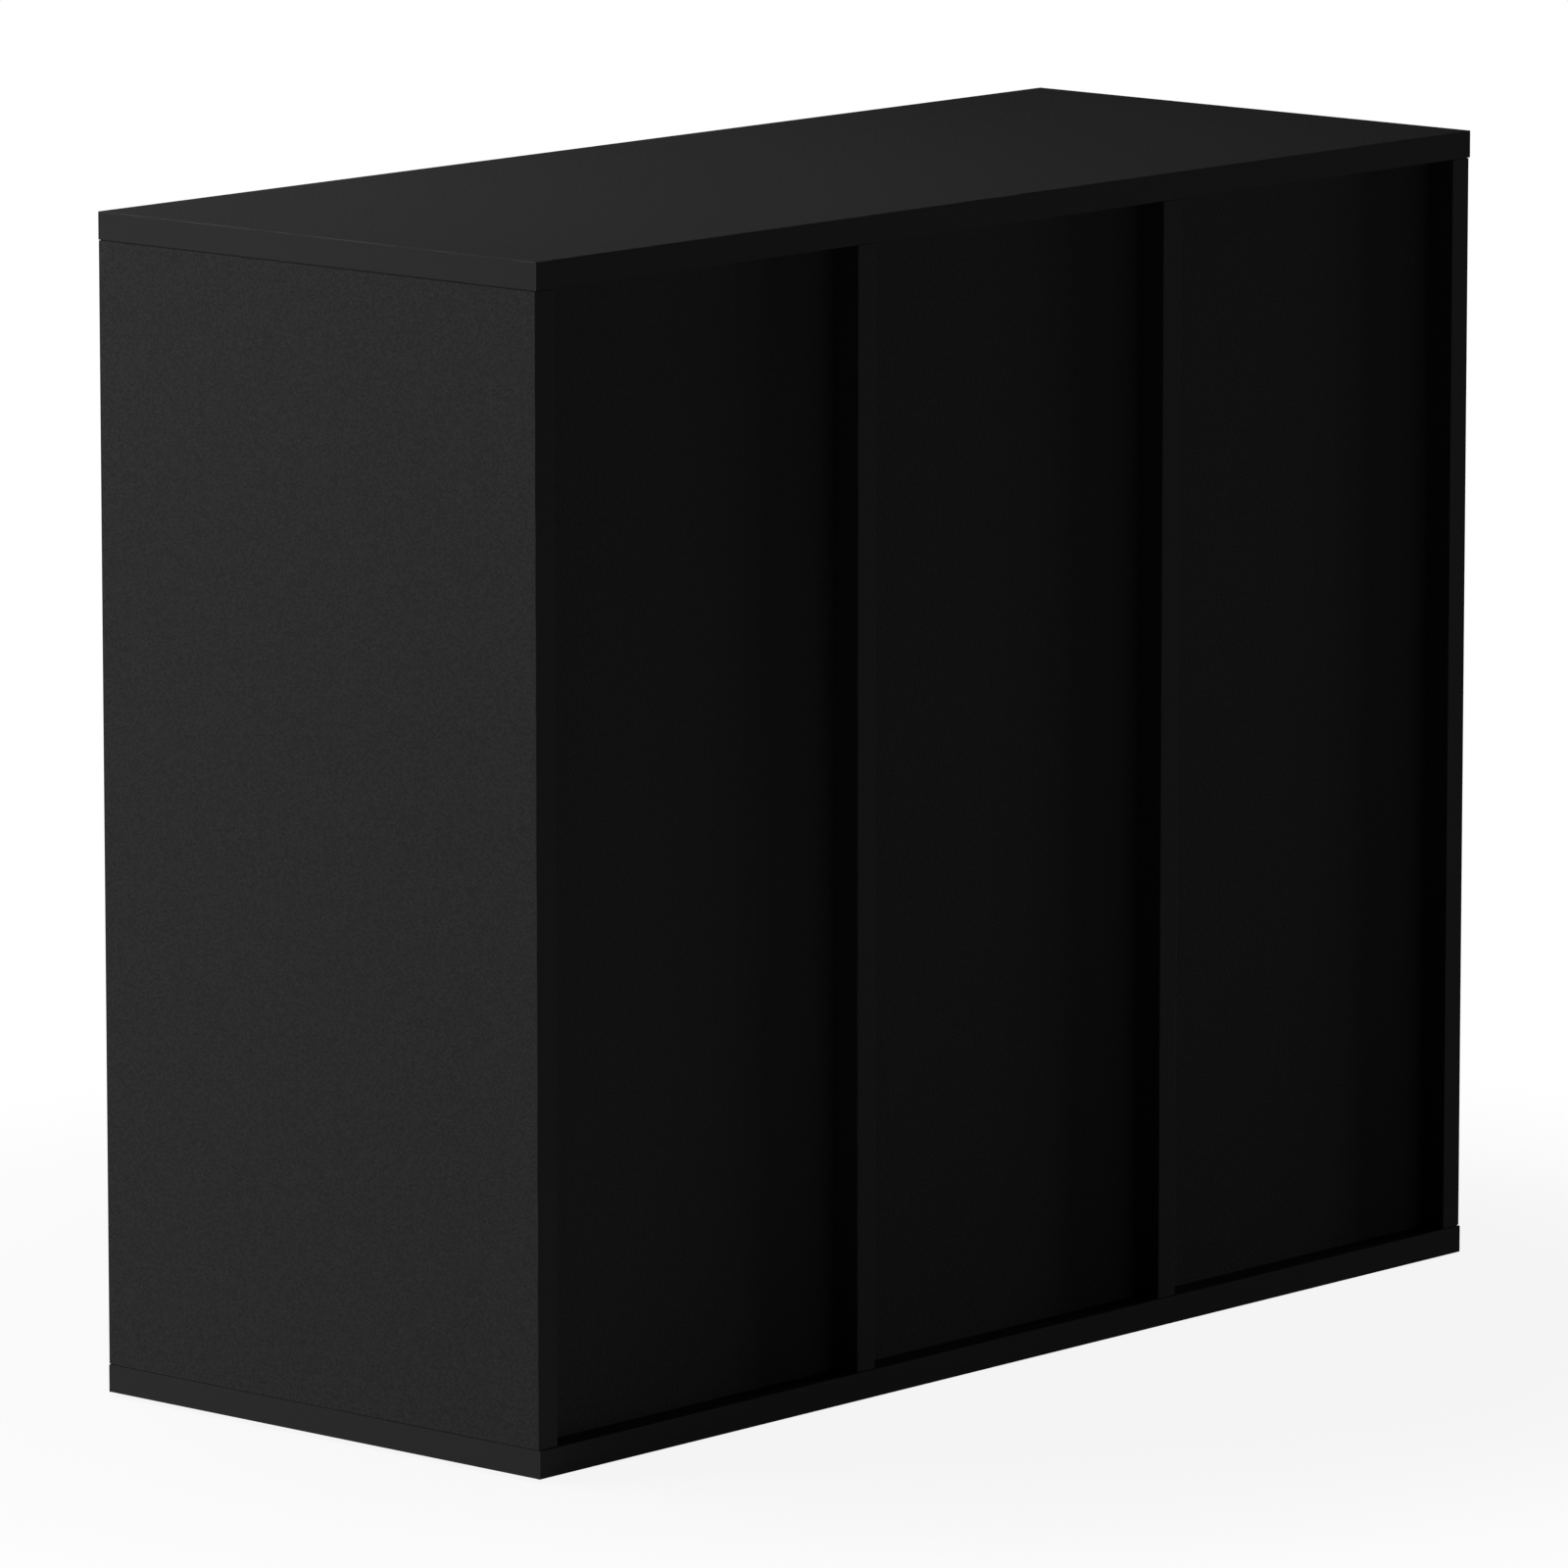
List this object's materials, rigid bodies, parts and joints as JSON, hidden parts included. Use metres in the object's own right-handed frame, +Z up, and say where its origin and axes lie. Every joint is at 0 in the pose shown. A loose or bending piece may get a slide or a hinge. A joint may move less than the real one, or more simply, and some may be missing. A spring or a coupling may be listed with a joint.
{
  "type": "sliding door cabinet",
  "caption": "Low black board cabinet with divided bays, recessed back panels and sliding doors that run on rollers in separate lanes at the front.",
  "frame": {"origin": "floor level under the glides, at the centre of the footprint", "axes": "+X to the right seen from the front, -Y the front with the doors, +Y the back with the recessed panels, +Z up"},
  "size_m": [0.96, 0.395, 0.803],
  "materials": {
    "black_melamine": "chipboard faced with fine-pearl black melamine",
    "black_edge_band": "smooth matt black edge band",
    "black_back_board": "fibreboard faced in matt black",
    "zinc_alloy": "die-cast zinc alloy",
    "bright_steel": "zinc-plated steel",
    "beech": "plain beech",
    "satin_aluminium": "satin anodised extrusion",
    "black_rubber": "soft matt rubber",
    "black_plastic": "moulded polyamide",
    "white_nylon": "natural nylon",
    "brushed_pull": "brushed stainless steel"
  },
  "bodies": {
    "carcass": {"top_panel": "black_melamine", "bottom_panel": "black_melamine", "left_side": "black_melamine", "left_divider": "black_melamine", "right_divider": "black_melamine", "right_side": "black_melamine", "shelf_left": "black_melamine", "shelf_middle": "black_melamine", "shelf_right": "black_melamine", "back_panel_left": "black_back_board", "back_panel_middle": "black_back_board", "back_panel_right": "black_back_board", "top_edge_bands": "black_edge_band", "bottom_edge_bands": "black_edge_band", "side_edge_bands": "black_edge_band", "divider_edge_bands": "black_edge_band", "shelf_edge_bands": "black_edge_band", "cam_locks": "zinc_alloy", "cam_bolts": "bright_steel", "dowels": "beech", "shelf_pins": "bright_steel", "bottom_track": "satin_aluminium", "top_track": "satin_aluminium", "bottom_track_screws": "bright_steel", "top_track_screws": "bright_steel", "door_bumpers": "black_rubber", "glides": "black_plastic", "glide_nails": "bright_steel"},
    "left_door": {"left_door_panel": "black_melamine", "left_door_edge_bands": "black_edge_band", "left_door_pull": "brushed_pull", "left_door_carriages": "black_plastic", "left_door_axles": "bright_steel", "left_door_carriage_screws": "bright_steel", "left_door_guides": "black_plastic"},
    "left_door_left_roller": {"left_door_left_roller": "white_nylon"},
    "left_door_right_roller": {"left_door_right_roller": "white_nylon"},
    "middle_door": {"middle_door_panel": "black_melamine", "middle_door_edge_bands": "black_edge_band", "middle_door_pull": "brushed_pull", "middle_door_carriages": "black_plastic", "middle_door_axles": "bright_steel", "middle_door_carriage_screws": "bright_steel", "middle_door_guides": "black_plastic"},
    "middle_door_left_roller": {"middle_door_left_roller": "white_nylon"},
    "middle_door_right_roller": {"middle_door_right_roller": "white_nylon"},
    "right_door": {"right_door_panel": "black_melamine", "right_door_edge_bands": "black_edge_band", "right_door_pull": "brushed_pull", "right_door_carriages": "black_plastic", "right_door_axles": "bright_steel", "right_door_carriage_screws": "bright_steel", "right_door_guides": "black_plastic"},
    "right_door_left_roller": {"right_door_left_roller": "white_nylon"},
    "right_door_right_roller": {"right_door_right_roller": "white_nylon"}
  },
  "joints": [
    {"name": "left_door_slide", "type": "slide", "parent": "carcass", "child": "left_door", "axis": [1, 0, 0], "range_m": [0, 0.596]},
    {"name": "left_door_left_roller_spin", "type": "hinge", "parent": "left_door", "child": "left_door_left_roller", "pos_m": [-0.399, -0.1835, 0.0353], "axis": [0, 1, 0], "continuous": true},
    {"name": "left_door_right_roller_spin", "type": "hinge", "parent": "left_door", "child": "left_door_right_roller", "pos_m": [-0.197, -0.1835, 0.0353], "axis": [0, 1, 0], "continuous": true},
    {"name": "middle_door_slide", "type": "slide", "parent": "carcass", "child": "middle_door", "axis": [1, 0, 0], "range_m": [-0.298, 0.298]},
    {"name": "middle_door_left_roller_spin", "type": "hinge", "parent": "middle_door", "child": "middle_door_left_roller", "pos_m": [-0.101, -0.1635, 0.0353], "axis": [0, 1, 0], "continuous": true},
    {"name": "middle_door_right_roller_spin", "type": "hinge", "parent": "middle_door", "child": "middle_door_right_roller", "pos_m": [0.101, -0.1635, 0.0353], "axis": [0, 1, 0], "continuous": true},
    {"name": "right_door_slide", "type": "slide", "parent": "carcass", "child": "right_door", "axis": [1, 0, 0], "range_m": [-0.596, 0]},
    {"name": "right_door_left_roller_spin", "type": "hinge", "parent": "right_door", "child": "right_door_left_roller", "pos_m": [0.197, -0.1435, 0.0353], "axis": [0, 1, 0], "continuous": true},
    {"name": "right_door_right_roller_spin", "type": "hinge", "parent": "right_door", "child": "right_door_right_roller", "pos_m": [0.399, -0.1435, 0.0353], "axis": [0, 1, 0], "continuous": true}
  ],
  "couplings": [
    {"joint": "left_door_left_roller_spin", "follows": "left_door_slide", "rad_per_m": 166.67},
    {"joint": "left_door_right_roller_spin", "follows": "left_door_slide", "rad_per_m": 166.67},
    {"joint": "middle_door_left_roller_spin", "follows": "middle_door_slide", "rad_per_m": 166.67},
    {"joint": "middle_door_right_roller_spin", "follows": "middle_door_slide", "rad_per_m": 166.67},
    {"joint": "right_door_left_roller_spin", "follows": "right_door_slide", "rad_per_m": 166.67},
    {"joint": "right_door_right_roller_spin", "follows": "right_door_slide", "rad_per_m": 166.67}
  ]
}
